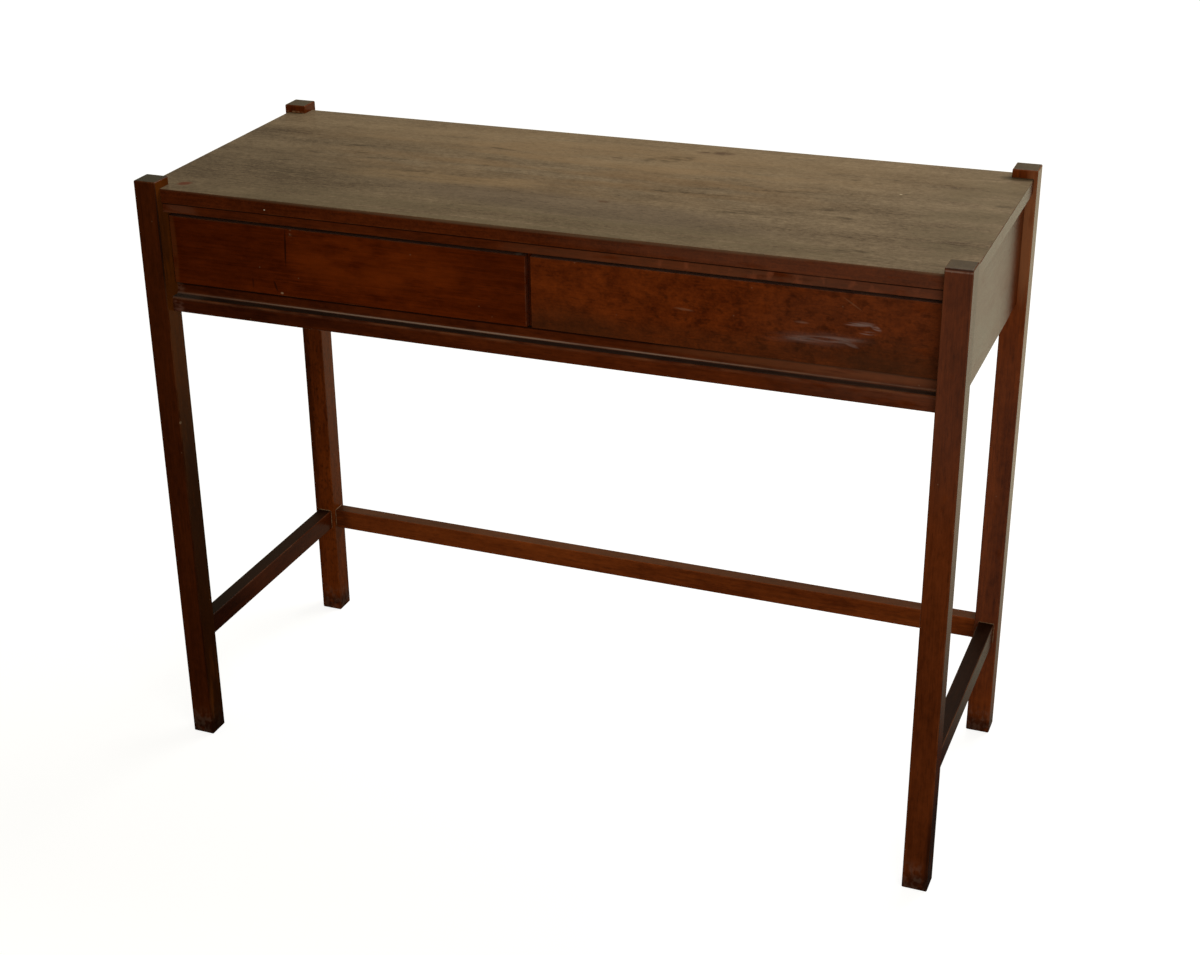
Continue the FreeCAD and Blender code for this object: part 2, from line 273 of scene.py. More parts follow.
# A dark line of painted shade and a pale painted highlight under the top arris, a bloom down the front, and a
# dark foot at the side, which is a painted dark reflection.
front_right_marks = [
    ((right_middle, front, leg_top - 0.7), (40, 2.4, 1.3), unturned, "#150905", 0.75, (30, 9, 0.2)),
    ((right_middle, front, leg_top - 3.2), (40, 2, 1.3), unturned, "#A08C7C", 0.25, (30, 9, 0.36)),
    ((right_middle, front, 700), (60, 12, 260), unturned, "#6E5850", 0.08, (40, 20, 0.22)),
    ((right, leg_middle_y, 50), (7, 40, 110), unturned, "#100704", 0.7, (60, 14, 0.25)),
]
# Dark flecks, chips in the varnish just above the top, and a dark outer edge that is painted shade.
back_left_marks = [
    ((left_middle, back_leg_front, 300), (60, 60, 460), unturned, "#1E0A02", 0.5, (7, 3, 0.54)),
    ((left_middle, back_leg_front, leg_top - 8.6), (18, 3, 1.5), unturned, "#A07A58", 0.6, (8, 5, 0.4)),
    ((left, back_leg_front, 330), (13, skin, 330), unturned, "#1A0802", 0.55, (120, 9, 0.3)),
]
# A pale band along the upper right edge, and a faint bloom below it.
back_right_marks = [
    ((right - 6, back_leg_front, 690), (12, skin, 110), unturned, "#96623F", 0.55, (90, 14, 0.3)),
    ((right_middle, back_leg_front, 330), (60, 12, 360), unturned, "#6E5850", 0.1, (40, 20, 0.22)),
]
# The sides that face right have a thinner coat, which shines less. So has the grey-brown end grain on top,
# whose grey is partly a painted sheen; the front left leg's is darker as painted shade.
front_left_side = (rightward, "#3A1A03", "#5E2E08", 0.3, 1.08)
front_right_side = (rightward, "#2B0E02", "#5E290D", 0.22, 1.11)
back_left_side = (rightward, "#3C1603", "#6C300A", 0.25, 1.12)
shaded_end_and_sheen = (up, "#1E160E", "#352A1D", 0.3, 1.1)
grey_end_and_sheen = (up, "#33251A", "#54442F", 0.3, 1.1)
# Each leg has its own colours, as painted light and shade: the front left darkest, the back two lightest.
for name, leg_dark, leg_light, faces, marks in (
    ("front_left_leg", "#240B01", "#4D1F06", [shaded_end_and_sheen, front_left_side], front_left_marks),
    ("front_right_leg", "#2B0E02", "#5E290D", [grey_end_and_sheen, front_right_side], front_right_marks),
    ("back_left_leg", "#441804", "#78350C", [grey_end_and_sheen, back_left_side], back_left_marks),
    ("back_right_leg", "#401604", "#7C3811", [grey_end_and_sheen], back_right_marks),
):
    dress(timber(
        "mahogany_stained_satin_" + name, along_z, leg_dark, leg_light, stain_tones, varnish_roughness,
        varnish_ior, worn_and_highlit=rubbed_and_highlit, faces=faces, marks=foot_marks + marks, specks=speckled,
    ), name)

# The three stretchers are slim mahogany bars between the legs, tenoned into them and glued.
# The glue squeezed out round each shoulder was varnished over and shows as a thin pale line.
back_bar_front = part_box("back_stretcher")[0].y / mm
bar_z = 150
# Painted shade at the front end of the left one, by the leg.
side_stretcher_marks = [
    ((left + 20, front + 50, bar_z), (30, 110, 30), unturned, "#120604", 0.5, (60, 8, 0.3)),
]
# Painted shade at the left end of the back one, by the leg, and fine dark streaks along its front.
back_stretcher_marks = [
    ((left_inside + 2, back_leg_front + 2, bar_z), (26, 30, 40), unturned, "#1C0B04", 0.5, (40, 6, 0.3)),
    ((200, back_bar_front, bar_z), (520, 6, 30), unturned, "#2A1006", 0.3, (40, 4, 0.5)),
]
# Stained mahogany again, dusty and dull on the upper sides. The back one's paler, redder colours are painted
# light.
side_bar_upper = (up, "#170A05", "#2C170C", 0.45, 1.1)
back_bar_upper = (up, "#391B0A", "#61361C", 0.3, 1.12)
side_stretcher_wood = timber(
    "mahogany_stained_satin_side_stretchers", along_y, "#2B0E02", "#4C1E06", stain_tones, varnish_roughness,
    varnish_ior, worn_and_highlit=rubbed_and_highlit, faces=[side_bar_upper], marks=side_stretcher_marks, specks=speckled,
)
back_stretcher_wood = timber(
    "mahogany_stained_satin_back_stretcher", along_x, "#4F1E07", "#843E15", stain_tones, varnish_roughness,
    varnish_ior, worn_and_highlit=rubbed_and_highlit, faces=[back_bar_upper], marks=back_stretcher_marks, specks=speckled,
)
dress(side_stretcher_wood, "left_stretcher", "right_stretcher")
dress(back_stretcher_wood, "back_stretcher")

bead_size, bead_sunk, bead_corner = 1.3 * mm, 0.2 * mm, 1.5 * mm
bead_points, section_points = 56, 4
thinnest_share, hollow_share = 0.45, 0.3
chance = random.Random(7)


def new_object(name, vertices, faces, material, body):
    """A piece in world coordinates that moves with a body."""
    mesh = bpy.data.meshes.new(name)
    mesh.from_pydata(vertices, [], faces)
    mesh.validate()
    mesh.materials.append(material)
    piece = bpy.data.objects.new(name, mesh)
    bpy.context.scene.collection.objects.link(piece)
    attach(piece, body)
    return piece


def glue_bead(name, low, high, axis, shoulder, away):
    """A fillet of glue round a bar's section at a shoulder. Away is the bar's side of it, 1 or -1."""
    across = [index for index in range(3) if index != axis]
    middle = [(low[index] + high[index]) / 2 for index in across]
    half = [(high[index] - low[index]) / 2 - bead_corner for index in across]
    thick = [chance.uniform(thinnest_share, 1) for index in range(bead_points)]
    vertices = []
    for index in range(bead_points):
        angle = 2 * math.pi * (index + 0.5) / bead_points
        outward = (math.cos(angle), math.sin(angle))
        reach = max(abs(outward[0]) / (half[0] + bead_corner), abs(outward[1]) / (half[1] + bead_corner))
        on_box = [value / reach for value in outward]
        core = [max(-limit, min(limit, value)) for value, limit in zip(on_box, half)]
        from_core = Vector([value - inner for value, inner in zip(on_box, core)]).normalized()
        size = bead_size * (thick[index - 1] + thick[index] + thick[(index + 1) % bead_points]) / 3
        hollow = size * hollow_share
        section = ((size, -bead_sunk), (hollow, hollow), (-bead_sunk, size), (-bead_sunk, -bead_sunk))
        for out, along in section:
            point = [0, 0, 0]
            point[axis] = shoulder + away * along
            for direction in range(2):
                ring = core[direction] + from_core[direction] * (bead_corner + out)
                point[across[direction]] = middle[direction] + ring
            vertices.append(point)
    faces = []
    for index in range(bead_points):
        here, there = index * section_points, (index + 1) % bead_points * section_points
        for side in range(section_points):
            after = (side + 1) % section_points
            faces.append((here + side, here + after, there + after, there + side))
    # Which way round the faces run depends on the bar's axis and end. This makes them all face out.
    if (axis == along_x) == (away > 0):
        faces = [face[::-1] for face in faces]
    return new_object(name, vertices, faces, glue, "frame")


# Dried glue under varnish: a cloudy amber that shines more than the wood round it.
glue_dark, glue_light = "#4E3320", "#8A6A4C"
glue_roughness, glue_ior = 0.3, 1.3
glue_tones = ((6, 4, 0.6), (2, 2, 0.4))
glue = timber(
    "hide_glue_varnished", along_z, glue_dark, glue_light, glue_tones, glue_roughness, glue_ior, pores=0,
)
for side, outer in (("left", -1), ("right", 1)):
    low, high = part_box(side + "_stretcher")
    for row, end in (("front", 1), ("back", -1)):
        leg_low, leg_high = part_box(row + "_" + side + "_leg")
        shoulder = leg_high.y if end > 0 else leg_low.y
        glue_bead(side + "_stretcher_" + row + "_glue", low, high, along_y, shoulder, end)
    low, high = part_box("back_stretcher")
    leg_low, leg_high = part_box("back_" + side + "_leg")
    shoulder = leg_high.x if outer < 0 else leg_low.x
    glue_bead("back_stretcher_" + side + "_glue", low, high, along_x, shoulder, -outer)

# The side and back aprons are mahogany boards tongued into the legs, set in from their outer faces.
# Outside they have the desk's stain and varnish. Inside they are bare.
# Bare planed mahogany: a dry mid brown with little shine.
bare = ("#6B4528", "#8A5E38", 0.6, 1.3)
leftward, forward = (-1, 0, 0), (0, -1, 0)
for name, grain, inward in (
    ("left_side_panel", along_y, rightward),
    ("right_side_panel", along_y, leftward),
    ("back_panel", along_x, forward),
):
    dress(timber(
        "mahogany_stained_satin_" + name, grain, stain_dark, stain_light, stain_tones, varnish_roughness,
        varnish_ior, worn_and_highlit=rubbed_and_highlit, faces=[(inward, *bare)], specks=speckled,
    ), name)

# The front rails are mahogany strips tenoned into the front legs. The lower one is stepped and coved, which
# leaves a recess for the fingers under the drawers. A post stands between the drawers. All are bare behind.
rail_low, rail_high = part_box("upper_front_rail")
lower_low, lower_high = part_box("lower_front_rail")
rail_front, upper_z, rail_top = rail_low.y / mm, rail_low.z / mm, rail_high.z / mm
lower_z, upright_top = lower_low.z / mm, lower_high.z / mm
ledge_high, upright_set_back = 19, 14
ledge_z, upright_y = lower_z + ledge_high, rail_front + upright_set_back
cove_y, cove_z = upright_y - 1.4, ledge_z + 1.3
backward = (0, 1, 0)
rail_marks = [
    # A pale painted highlight along the cove, thicker over most of its length, and a painted shadow along the
    # upright's top, under the drawer fronts.
    ((0, cove_y, cove_z), (everywhere, 1.5, 1.4), unturned, "#7E6858", 0.3, (260, 9, 0.36)),
    ((-60, cove_y, cove_z), (430, 1.4, 1.3), unturned, "#9A8474", 0.6, (260, 9, 0.3)),
    ((0, upright_y, upright_top - 0.6), (everywhere, 3, 2), unturned, "#140603", 0.85, (300, 9, 0.2)),
    # Painted reflection on the ledge's left end, a dark part below it, a paler part of the upright and a pale
    # pink left end.
    ((left_inside + 6, rail_front + 6, ledge_z), (50, 12, 3), unturned, "#5E534C", 0.4, (60, 9, 0.3)),
    ((-360, rail_front, lower_z + 7), (260, 4, 13), unturned, "#1A0703", 0.4, (120, 9, 0.3)),
    ((340, upright_y, upright_top - 5), (260, 2, 8), unturned, "#7E4A2C", 0.3, (70, 9, 0.3)),
    ((left_inside + 8, rail_front, lower_z + 9), (10, skin, 14), unturned, "#7A5548", 0.45, (14, 6, 0.4)),
    # A bloom over the right ends of both rails, and paler and redder patches on the upper one.
    ((right_inside - 30, rail_front, 690), (280, 40, 120), unturned, "#6E5040", 0.19, (50, 12, 0.32)),
    ((left_inside + 18, rail_front, upper_z + 5), (40, 40, 14), unturned, "#6E4430", 0.35, (40, 8, 0.4)),
    ((160, rail_front, upper_z + 6), (260, skin, 14), unturned, "#6E4A34", 0.2, (50, 12, 0.3)),
    ((300, rail_front, upper_z + 5), (230, skin, 12), unturned, "#84462C", 0.4, (13, 16, 0.54)),
    # Dust in the upright's left corner, and a painted shadow along the seam under the top.
    ((left_inside + 4, upright_y - 3, upright_top - 6), (9, 9, 12), unturned, "#7E5844", 0.35, (8, 4, 0.42)),
    ((0, rail_front, rail_top - 1), (everywhere, 6, 1.9), unturned, "#120502", 0.85, (300, 9, 0.25)),
]
# The upper sides are grey with dust, which takes their shine, and their grey is also a painted reflection.
dust_and_reflection = (up, "#2A1D18", "#40302A", 0.4, 1.1)
rail_wood = timber(
    "mahogany_stained_satin_rails", along_x, stain_dark, stain_light, stain_tones, varnish_roughness,
    varnish_ior, worn_and_highlit=rubbed_and_highlit, faces=[(backward, *bare), dust_and_reflection], marks=rail_marks, specks=speckled,
)
post_wood = timber(
    "mahogany_stained_satin_post", along_z, stain_dark, stain_light, stain_tones, varnish_roughness,
    varnish_ior, faces=[(backward, *bare)],
)
dress(rail_wood, "upper_front_rail", "lower_front_rail")
dress(post_wood, "centre_post")

# The runners, bearer, guide, battens and stops inside the frame are planed pine, glued and screwed in place.
# They were never finished, and have browned with age.
# Bare pine: honey brown and matt, with long straight bands of early and late wood and few pores.
pine_dark, pine_light = "#7C5A36", "#A07A4C"
pine_roughness, pine_ior, pine_pores = 0.62, 1.3, 0.12
pine_tones = ((500, 9, 0.45), (160, 30, 0.25), (60, 1.6, 0.3))
deep_pieces = (
    "left_runner", "right_runner", "centre_bearer", "centre_guide", "centre_kicker", "left_top_batten",
    "right_top_batten",
)
long_pieces = (
    "back_top_batten", "left_inner_stop", "left_outer_stop", "right_inner_stop", "right_outer_stop",
)
for name, grain, pieces in (
    ("pine_planed_bare_along_y", along_y, deep_pieces),
    ("pine_planed_bare_along_x", along_x, long_pieces),
):
    pine = timber(name, grain, pine_dark, pine_light, pine_tones, pine_roughness, pine_ior, pores=pine_pores)
    dress(pine, *pieces)

# Round-headed steel screws, driven up through the battens, kicker and upper rail, hold the top.
# More of them hold the runners to the aprons. Their heads are turned, slotted and dull with age.
screw_radius, screw_high, slot_half, slot_deep = 3.6 * mm, 2.2 * mm, 0.45 * mm, 1.1 * mm
head_levels, head_arc = 6, 10


def half_head(side):
    """The half of a domed head on one side of its slot, 1 or -1, as vertices and faces."""
    steepest = math.acos(slot_half / screw_radius)
    vertices, faces = [], []
    for level in range(head_levels):
        rise = steepest * level / head_levels
        radius, height = screw_radius * math.cos(rise), screw_high * math.sin(rise)
        reach = math.acos(slot_half / radius)
        for step in range(head_arc + 1):
            angle = reach * (2 * step / head_arc - 1)
            x, y = side * radius * math.cos(angle), side * radius * math.sin(angle)
            vertices.append(Vector((x, y, height)))
    row, crown = head_arc + 1, len(vertices)
    vertices.append(Vector((side * slot_half, 0, screw_high * math.sin(steepest))))
    for first in range(crown - row):
        if first % row < head_arc:
            faces.append([first, first + 1, first + 1 + row, first + row])
    faces += [[first, first + 1, crown] for first in range(crown - row, crown - 1)]
    # The underside and the wall of the slot.
    faces.append(list(range(row))[::-1])
    faces.append([*range(0, crown, row), crown, *range(crown - 1, 0, -row)])
    return vertices, faces


# The slot's floor: the metal that is left under it.
slot_floor_vertices = []
for height in (0, screw_high - slot_deep):
    reach = screw_radius * math.sqrt(1 - (slot_half / screw_radius) ** 2 - (height / screw_high) ** 2)
    for x, y in ((-slot_half, -reach), (slot_half, -reach), (slot_half, reach), (-slot_half, reach)):
        slot_floor_vertices.append(Vector((x, y, height)))
slot_floor_faces = [[3, 2, 1, 0], [4, 5, 6, 7], [0, 1, 5, 4], [1, 2, 6, 5], [2, 3, 7, 6], [3, 0, 4, 7]]
head_pieces = [half_head(1), half_head(-1), (slot_floor_vertices, slot_floor_faces)]


def put_heads(name, pieces, places, outward, material, body):
    """Heads that stand out from a face at places, each turned by chance."""
    vertices, faces = [], []
    stand = Vector(up).rotation_difference(Vector(outward)).to_matrix().to_4x4()
    for place in places:
        put = Matrix.Translation(place) @ stand @ Matrix.Rotation(chance.uniform(0, math.pi), 4, "Z")
        for piece_vertices, piece_faces in pieces:
            first = len(vertices)
            vertices += [put @ vertex for vertex in piece_vertices]
            faces += [[first + index for index in face] for face in piece_faces]
    return new_object(name, vertices, faces, material, body)


# Plain steel gone dull: grey with brown blooms of rust, which scatter the light.
steel_grey, rust_brown = linear("#8C867E"), linear("#5A3A26")
rust_wide, rust_deep, rust_strength = 1.5, 0.05, 0.4
rust_from, rust_whole = 0.42, 0.66
steel_roughness, rust_roughness, steel_metallic = 0.4, 0.75, 0.85
steel, tree = new_material("steel_dull_rust_bloom")
place = add(tree, "TexCoord").outputs["Object"]
noise = add(tree, "TexNoise", {"Vector": place, "Scale": 1 / (rust_wide * mm), "Detail": 4}).outputs["Fac"]
bloom = add(tree, "MapRange", {
    "Value": noise, "From Min": rust_from, "From Max": rust_whole,
}).outputs["Result"]
mixed = {0: bloom, colour_a: steel_grey, colour_b: rust_brown}
colour = add(tree, "Mix", mixed, data_type="RGBA").outputs[colour_out]
rough = add(tree, "MapRange", {
    "Value": bloom, "To Min": steel_roughness, "To Max": rust_roughness,
}).outputs["Result"]
bump = add(tree, "Bump", {
    "Strength": rust_strength, "Distance": rust_deep * mm, "Height": noise,
}).outputs["Normal"]
shader = add(tree, "BsdfPrincipled", {
    "Base Color": colour, "Metallic": steel_metallic, "Roughness": rough, "Normal": bump,
})
add(tree, "OutputMaterial", {"Surface": shader.outputs["BSDF"]})


def spaced(low, high, shares):
    """Places at some shares of the way from low to high."""
    return [low + (high - low) * share for share in shares]


two_shares, three_shares, four_shares = (0.25, 0.75), (0.12, 0.5, 0.88), (0.08, 0.36, 0.64, 0.92)
screw_from_back = 8 * mm
down = (0, 0, -1)
for side, inward in (("left", rightward), ("right", leftward)):
    low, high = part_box(side + "_top_batten")
    middle_x = (low.x + high.x) / 2
    places = [(middle_x, y, low.z) for y in spaced(low.y, high.y, three_shares)]
    put_heads(side + "_batten_screws", head_pieces, places, down, steel, "frame")
    low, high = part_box(side + "_runner")
    face_x = high.x if inward == rightward else low.x
    places = [(face_x, y, (low.z + high.z) / 2) for y in spaced(low.y, high.y, three_shares)]
    put_heads(side + "_runner_screws", head_pieces, places, inward, steel, "frame")
low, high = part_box("back_top_batten")
places = [(x, (low.y + high.y) / 2, low.z) for x in spaced(low.x, high.x, four_shares)]
put_heads("back_batten_screws", head_pieces, places, down, steel, "frame")
low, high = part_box("upper_front_rail")
places = [(x, high.y - screw_from_back, low.z) for x in spaced(low.x, high.x, four_shares)]
put_heads("upper_rail_screws", head_pieces, places, down, steel, "frame")
low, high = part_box("centre_kicker")
places = [((low.x + high.x) / 2, y, low.z) for y in spaced(low.y, high.y, two_shares)]
put_heads("kicker_screws", head_pieces, places, down, steel, "frame")

# The top is one wide mahogany board, notched round the legs and screwed up from the battens. Its varnish is
# worn thin. Its upper face has faded to an olive brown, greyest along the front and the right end, with dark
# streaks, smudges and one red stain. Part of the olive paleness is a painted sheen.
top_low, top_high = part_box("desk_top")
top_z, top_front = top_high.z / mm, top_low.y / mm
top_tones = ((600, 60, 0.25), (60, 30, 0.15), (9, 5, 0.2), (3, 2.2, 0.2), (60, 1.6, 0.2))
top_marks = [
    # Where it has faded: tan in the middle and grey along the front and the right end. The palest part, at
    # the back, is a painted reflection.
    ((-40, 50, top_z), (460, 150, skin), unturned, "#7E6142", 0.4, (180, 40, 0.42)),
    ((0, -172, top_z), (560, 85, skin), unturned, "#645742", 0.5, (260, 12, 0.36)),
    ((470, 0, top_z), (95, 330, skin), unturned, "#645742", 0.45, (60, 22, 0.38)),
    ((0, 130, top_z), (620, 110, skin), unturned, "#8E7658", 0.3, (120, 20, 0.3)),
    # A grey band and a tan one along the grain, and a dark left front that is painted shade.
    ((30, -98, top_z), (330, 50, skin), (0, 0, -4), "#57493F", 0.42, (260, 30, 0.28)),
    ((-170, -42, top_z), (190, 30, skin), (0, 0, 4), "#957A58", 0.3, (120, 12, 0.34)),
    ((-390, -80, top_z), (220, 150, skin), unturned, "#4A3D2E", 0.2, (120, 20, 0.34)),
    # Faint dark streaks and flecks all over, a painted shadow of the back right leg on the top, and a bloom
    # on the front edge.
    ((0, 15, top_z), (500, 160, skin), unturned, "#33281C", 0.16, (60, 12, 0.54)),
    ((0, 0, top_z), (620, 240, skin), unturned, "#2A1F15", 0.45, (9, 2.6, 0.58)),
    ((480, 166, top_z), (30, 13, skin), unturned, "#241A12", 0.6, (40, 14, 0.2)),
    ((400, top_front, 751), (460, skin, 14), unturned, "#6E5040", 0.16, (50, 12, 0.28)),
    # The red stain at the left front, two smudges at the back, and two small brown spots.
    ((-453, -162, top_z), (12, 9, skin), (0, 0, 35), "#5E2A1A", 0.85, (30, 12, 0.2)),
    ((112, 158, top_z), (32, 10, skin), (0, 0, 8), "#38201A", 0.6, (16, 5, 0.36)),
    ((68, 117, top_z), (46, 17, skin), (0, 0, 26), "#2E2218", 0.5, (16, 5, 0.42)),
    ((3, 100, top_z), (9, 5, skin), unturned, "#3A2114", 0.6, (12, 4, 0.4)),
    ((50, -71, top_z), (10, 6, skin), unturned, "#4A2A18", 0.6, (14, 4, 0.4)),
    # A pale chip with a dark scratch beside it, and a pale dot on the front edge.
    ((364, 63, top_z), (2.4, 1.8, skin), unturned, "#B9A98C", 0.9, (30, 30, 0.2)),
    ((371, 64, top_z), (6, 1.4, skin), (0, 0, 10), "#20150D", 0.8, (30, 30, 0.2)),
    ((-328, top_front, 748), (1.1, skin, 1.1), unturned, "#C8BCAA", 0.9, (30, 30, 0.2)),
]
# Single dark streaks: x, y, half length, half width and turn.
for x, y, long, wide, turn in (
    (-392, -34, 22, 7, 0), (-369, 10, 20, 7, 6), (-356, -79, 52, 16, 0), (-330, 53, 34, 6, 10),
    (-303, 25, 26, 5, 0), (-267, 12, 40, 5, 6), (-210, -26, 34, 6, 4), (-146, 95, 32, 4, -8),
    (140, -8, 80, 6, 4), (205, -60, 50, 9, 3), (207, 29, 20, 5, 0), (253, 34, 46, 8, 8),
    (268, -44, 16, 5, 0), (302, 102, 10, 4, 30), (305, -18, 42, 7, 10), (325, -44, 18, 6, 0),
    (331, 98, 12, 4, 0), (362, -152, 28, 9, 4), (458, -96, 22, 9, 0), (486, 52, 16, 8, 0),
):
    top_marks.append(((x, y, top_z), (long, wide, skin), (0, 0, turn), "#33271B", 0.55, (20, 3, 0.42)))
# Bleached mahogany under thin varnish: olive brown with fine dark grain, nearly matt, still red at the edges.
# Its olive paleness is partly fade and partly a painted sheen.
faded_and_sheen = (up, "#463628", "#948066", 0.36, 1.06)
top_rubbed_and_highlit, top_pores = ("#6A4A2E", 2, 0.5), 0.25
top_wood = timber(
    "mahogany_faded_worn_varnish_sheen_top", along_x, stain_dark, stain_light, top_tones, varnish_roughness,
    varnish_ior, pores=top_pores, worn_and_highlit=top_rubbed_and_highlit, faces=[faded_and_sheen, (down, *bare)], marks=top_marks,
)
dress(top_wood, "desk_top")

# The drawer fronts are mahogany boards with a mottled veneer face, stained and varnished, and bare behind.
# They have no handles: fingers pull at the lower edge, and years of this have scuffed the faces.
face_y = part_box("left_drawer_front")[0].y / mm
left_tones = ((260, 110, 0.25), (34, 12, 0.3), (9, 5, 0.15), (80, 1.8, 0.3))
right_tones = ((200, 90, 0.2), (26, 17, 0.3), (9, 7, 0.2), (3.4, 2.6, 0.2), (50, 1.8, 0.1))
left_marks = [
    # A warmer middle between darker ends, and a rubbed strip at the outer end.
    ((-200, face_y, 690), (150, skin, 42), unturned, "#742E06", 0.35, (60, 22, 0.38)),
    ((-450, face_y, 682), (170, skin, 80), unturned, "#2E0A00", 0.3, (120, 40, 0.3)),
    ((-466, face_y, 682), (6, skin, 70), unturned, "#74401F", 0.3, (14, 30, 0.3)),
    ((-30, face_y, 682), (70, skin, 80), unturned, "#2E0C01", 0.3, (60, 40, 0.3)),
    # A crack in the veneer with chips at its upper end, and below it two scratches and a pale chip.
    ((-311, face_y, 700), (1.8, skin, 30), (0, 3, 0), "#1A0803", 0.75, (9, 40, 0.35)),
    ((-303, face_y, 717), (3.2, skin, 9), unturned, "#7C5C44", 0.55, (3, 3, 0.45)),
    ((-328, face_y, 650), (2, skin, 9), (0, -18, 0), "#1C0904", 0.7, (9, 40, 0.35)),
    ((-359, face_y, 650), (2, skin, 9), unturned, "#220B05", 0.55, (9, 40, 0.35)),
    ((-320, face_y, 642), (2.6, skin, 1.8), unturned, "#9A7C62", 0.7, (4, 4, 0.3)),
    # A painted pale reflection on the inner end, and dust in its upper corner.
    ((-3, face_y + skin, 682), (2, 12, 80), unturned, "#4C2C20", 0.5, (20, 9, 0.4)),
    ((-12, face_y + skin, 724), (6, 6, 1.4), unturned, "#9A8878", 0.8, (9, 4, 0.3)),
]
right_marks = [
    # A dull right end, dark mottles, and a browner lower edge.
    ((400, face_y, 680), (190, skin, 80), unturned, "#4A3122", 0.18, (60, 24, 0.3)),
    ((300, face_y, 690), (320, skin, 90), unturned, "#200A03", 0.46, (10, 7, 0.53)),
    ((240, face_y, 638), (420, skin, 34), unturned, "#271C10", 0.3, (60, 20, 0.25)),
    ((45, face_y, 640), (90, skin, 44), unturned, "#271C10", 0.3, (40, 20, 0.25)),
    ((420, face_y, 645), (80, skin, 46), unturned, "#271C10", 0.35, (40, 20, 0.25)),
    # The long pale scuff in its veil, with a hooked end.
    ((338, face_y, 668), (72, skin, 11), (0, -4, 0), "#86766E", 0.07, (50, 3, 0.36)),
    ((342, face_y, 668), (52, skin, 5), (0, -4, 0), "#9A8C86", 0.22, (50, 2, 0.38)),
    ((372, face_y, 666), (12, skin, 3), (0, 20, 0), "#9A8C86", 0.14, (16, 2, 0.38)),
    # The scuff above it, like a loop.
    ((381, face_y, 690), (20, skin, 3.4), (0, -4, 0), "#9A8C86", 0.3, (30, 2, 0.38)),
    ((398, face_y, 688), (9, skin, 3.4), (0, 26, 0), "#9A8C86", 0.26, (16, 2.4, 0.38)),
    ((391, face_y, 681), (12, skin, 2.6), (0, -3, 0), "#9A8C86", 0.28, (24, 2, 0.36)),
    # Three short scratches.
    ((316, face_y, 685), (12, skin, 2), (0, 3, 0), "#8A7060", 0.26, (24, 2, 0.38)),
    ((185, face_y, 683), (14, skin, 2), (0, 3, 0), "#80604A", 0.28, (24, 2, 0.38)),
    ((372, face_y, 712), (16, skin, 1.2), (0, 32, 0), "#8A5E42", 0.2, (30, 30, 0.2)),
]
# Stained veneer under satin varnish: an orange brown with a soft mottle, plainer on the left. Dust dulls the
# upper edges, and their pale grey is also a painted reflection.
edge_dust_and_reflection = (up, "#5E4036", "#7E5A4A", 0.5, 1.05)
for side, veneer_dark, veneer_light, tones, marks in (
    ("left", "#390F00", "#622302", left_tones, left_marks),
    ("right", "#3A1203", "#702F0B", right_tones, right_marks),
):
    dress(timber(
        "mahogany_veneer_satin_" + side, along_x, veneer_dark, veneer_light, tones, varnish_roughness,
        varnish_ior, worn_and_highlit=rubbed_and_highlit, faces=[(backward, *bare), edge_dust_and_reflection], marks=marks, specks=speckled,
    ), side + "_drawer_front")

# The drawer sides and backs are planed beech, dovetailed together and left bare.
# The bottoms are thin birch plywood, slid into grooves from behind and nailed up into the back.
# Bare beech: a pale tan with short dark flecks and little shine.
beech_dark, beech_light = "#8A6640", "#B08A5C"
beech_roughness, beech_ior, beech_pores = 0.55, 1.3, 0.32
beech_tones = ((300, 12, 0.3), (120, 30, 0.2), (30, 1.6, 0.3), (9, 1.2, 0.2))
side_wood, back_wood = (
    timber(name, grain, beech_dark, beech_light, beech_tones, beech_roughness, beech_ior, pores=beech_pores)
    for name, grain in (("beech_planed_bare_sides", along_y), ("beech_planed_bare_backs", along_x))
)
# Bare birch plywood: yellower and matt, with the broad soft figure of a peeled veneer.
ply_dark, ply_light = "#94703F", "#B48E5A"
ply_roughness, ply_ior, ply_pores = 0.6, 1.3, 0.3
ply_tones = ((400, 60, 0.25), (90, 14, 0.3), (40, 1.6, 0.3), (12, 1.2, 0.15))
ply_wood = timber(
    "birch_plywood_bare", along_x, ply_dark, ply_light, ply_tones, ply_roughness, ply_ior, pores=ply_pores,
)

nail_radius, nail_high, nail_sides = 1.7 * mm, 0.4 * mm, 14
rim_share, crown_share = 0.5, 0.75
nail_shares = (0.15, 0.5, 0.85)
nail_angles = [2 * math.pi * index / nail_sides for index in range(nail_sides)]
nail_levels = (
    (nail_radius, 0), (nail_radius, nail_high * rim_share), (nail_radius * crown_share, nail_high),
)
nail_vertices = [
    Vector((radius * math.cos(angle), radius * math.sin(angle), height))
    for radius, height in nail_levels for angle in nail_angles
]
nail_faces = [list(range(nail_sides))[::-1], list(range(2 * nail_sides, 3 * nail_sides))]
for level in range(2):
    for index in range(nail_sides):
        here, there = level * nail_sides + index, level * nail_sides + (index + 1) % nail_sides
        nail_faces.append([here, there, there + nail_sides, here + nail_sides])
for side in ("left", "right"):
    dress(side_wood, side + "_drawer_outer_side", side + "_drawer_inner_side")
    dress(back_wood, side + "_drawer_back")
    dress(ply_wood, side + "_drawer_bottom")
    back_low, back_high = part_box(side + "_drawer_back")
    low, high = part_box(side + "_drawer_bottom")
    places = [(x, (back_low.y + back_high.y) / 2, low.z) for x in spaced(low.x, high.x, nail_shares)]
    put_heads(side + "_drawer_nails", [(nail_vertices, nail_faces)], places, down, steel, side + "_drawer")

